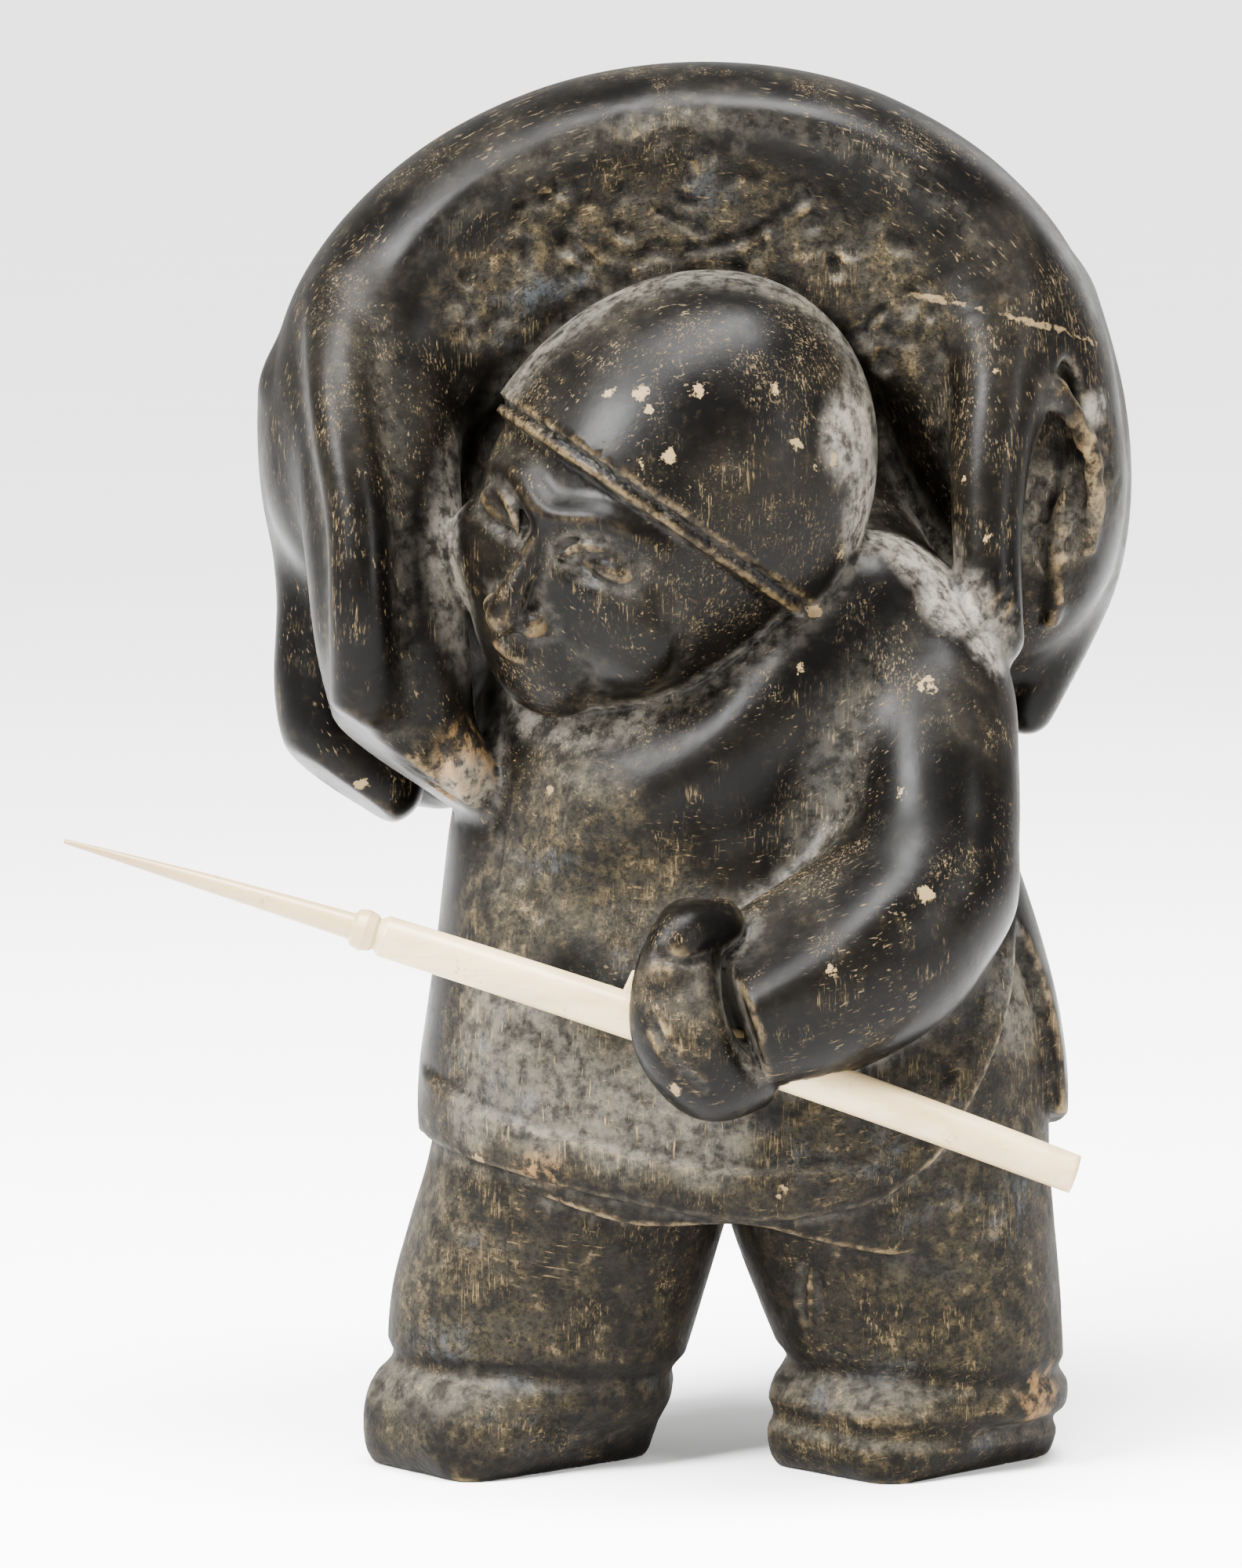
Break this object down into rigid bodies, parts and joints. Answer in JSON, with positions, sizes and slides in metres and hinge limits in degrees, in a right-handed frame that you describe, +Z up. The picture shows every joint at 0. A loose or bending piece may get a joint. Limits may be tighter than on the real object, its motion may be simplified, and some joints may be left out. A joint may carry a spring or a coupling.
{
  "type": "soapstone hunter sculpture",
  "caption": "Carved soapstone hunter in a hooded parka, an animal over the shoulders and an ivory harpoon held through the fist.",
  "frame": {"origin": "under the middle of the box round carving and harpoon, on the ground plane of the soles", "axes": "+Z up, -Y towards the viewer of the front, +X to the viewer's right; the head looks towards -X and -Y"},
  "size_m": [0.2268, 0.1416, 0.3004],
  "materials": {
    "soapstone": "satin",
    "ivory": "satin"
  },
  "bodies": {
    "root": {"hunter_figure": "soapstone", "harpoon": "ivory"}
  },
  "joints": []
}
